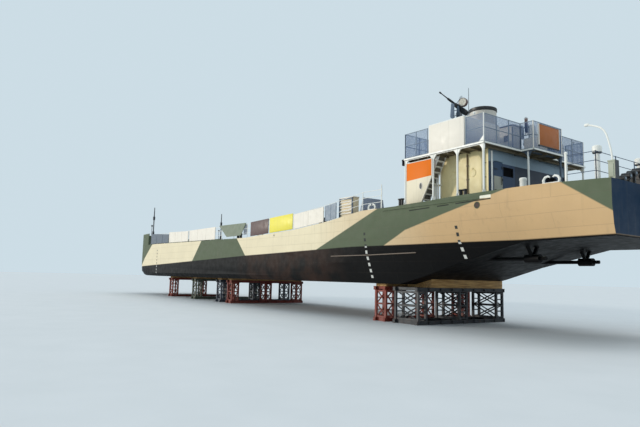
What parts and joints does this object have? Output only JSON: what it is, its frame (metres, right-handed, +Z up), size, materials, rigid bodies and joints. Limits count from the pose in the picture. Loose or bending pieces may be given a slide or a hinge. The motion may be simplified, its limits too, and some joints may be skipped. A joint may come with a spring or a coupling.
{
  "type": "tank landing craft on steel trestles, 1:2 scale model",
  "caption": "Flat-bottomed tank landing craft with a hinged bow ramp, open tank hold and stern bridge with guns, standing on trestles.",
  "frame": {"origin": "centre of the bounding box's base, on the floor under the trestles", "axes": "+X towards the bow, +Y to port, +Z up"},
  "size_m": [29.135, 4.75, 6.89],
  "materials": {
    "hull_paint": "matt paint, cream with grey-green camouflage over a black bottom",
    "bottom_paint": "satin black bottom paint",
    "cream_paint": "matt cream paint",
    "white_paint": "satin white paint",
    "blue_grey_paint": "matt blue-grey paint",
    "dark_paint": "satin dark grey paint",
    "green_paint": "matt grey-green paint",
    "orange_paint": "matt orange paint",
    "yellow_paint": "matt yellow paint",
    "brown_paint": "matt brown paint",
    "gun_metal": "blackened steel",
    "trestle_red": "worn red oxide paint",
    "trestle_blue": "worn blue-grey paint",
    "trestle_green": "worn grey-green paint",
    "timber": "rough sawn timber"
  },
  "bodies": {
    "craft": {"hull_stern": "hull_paint", "hull_bottom": "bottom_paint", "side_tank_port": "hull_paint", "side_tank_starboard": "hull_paint", "bow_mast_port": "dark_paint", "bow_mast_starboard": "dark_paint", "ramp_winch_port": "dark_paint", "ramp_winch_starboard": "dark_paint", "deckhouse_shell": "cream_paint", "deckhouse_aft": "blue_grey_paint", "bridge_deck": "cream_paint", "bridge_posts_port": "white_paint", "bridge_posts_starboard": "white_paint", "bridge_posts_aft": "white_paint", "screen_port": "orange_paint", "screen_starboard": "orange_paint", "ladder_port": "white_paint", "bridge_rail_fore": "blue_grey_paint", "bridge_rail_aft": "blue_grey_paint", "board_aft": "orange_paint", "gun_tub_port": "cream_paint", "gun_tub_starboard": "cream_paint", "gun_pedestal_port": "dark_paint", "gun_pedestal_starboard": "dark_paint", "funnel": "cream_paint", "chart_locker": "cream_paint", "signal_mast": "dark_paint", "vent_port": "white_paint", "vent_middle": "white_paint", "vent_starboard": "white_paint", "stern_lamp": "white_paint", "capstan_port": "white_paint", "rail_stern": "white_paint", "kedge_platform": "dark_paint", "kedge_winch": "dark_paint", "rail_port": "cream_paint", "rail_starboard": "cream_paint", "board_yellow": "yellow_paint", "board_brown": "brown_paint", "board_green": "green_paint", "trestle_1": "trestle_blue", "trestle_2": "trestle_red", "trestle_3": "trestle_red", "trestle_4": "trestle_blue", "trestle_5": "trestle_green", "trestle_6": "trestle_red", "timber_1": "timber", "timber_2": "timber", "timber_3": "timber", "timber_4": "timber", "timber_5": "timber", "timber_6": "timber"},
    "ramp": {"bow_ramp": "green_paint"},
    "door_leaf_port": {"door_port": "dark_paint"},
    "door_leaf_starboard": {"door_starboard": "dark_paint"},
    "carriage_port": {"gun_carriage_port": "blue_grey_paint"},
    "carriage_starboard": {"gun_carriage_starboard": "blue_grey_paint"},
    "barrel_port": {"gun_barrel_port": "gun_metal"},
    "barrel_starboard": {"gun_barrel_starboard": "gun_metal"},
    "drum": {"kedge_drum": "dark_paint"}
  },
  "joints": [
    {"name": "ramp_hinge", "type": "hinge", "parent": "craft", "child": "ramp", "pos_m": [14.5125, 0, 1.625], "axis": [0, 1, 0], "range_deg": [0, 105]},
    {"name": "door_port_hinge", "type": "hinge", "parent": "craft", "child": "door_leaf_port", "pos_m": [-10.8425, 1.485, 3.7], "axis": [0, 0, -1], "range_deg": [0, 110]},
    {"name": "door_starboard_hinge", "type": "hinge", "parent": "craft", "child": "door_leaf_starboard", "pos_m": [-10.8425, -1.485, 3.7], "axis": [0, 0, 1], "range_deg": [0, 110]},
    {"name": "gun_port_train", "type": "hinge", "parent": "craft", "child": "carriage_port", "pos_m": [-9.7675, 1.475, 5.75], "axis": [0, 0, 1], "continuous": true},
    {"name": "gun_port_elevation", "type": "hinge", "parent": "carriage_port", "child": "barrel_port", "pos_m": [-9.7675, 1.475, 5.75], "axis": [0.2079, -0.9781, 0], "range_deg": [-42, 48]},
    {"name": "gun_starboard_train", "type": "hinge", "parent": "craft", "child": "carriage_starboard", "pos_m": [-9.7675, -1.475, 5.75], "axis": [0, 0, 1], "continuous": true},
    {"name": "gun_starboard_elevation", "type": "hinge", "parent": "carriage_starboard", "child": "barrel_starboard", "pos_m": [-9.7675, -1.475, 5.75], "axis": [-0.829, -0.5592, 0], "range_deg": [-35, 55]},
    {"name": "kedge_drum_spin", "type": "hinge", "parent": "craft", "child": "drum", "pos_m": [-14.3425, 0, 3.275], "axis": [0, 1, 0], "continuous": true}
  ]
}
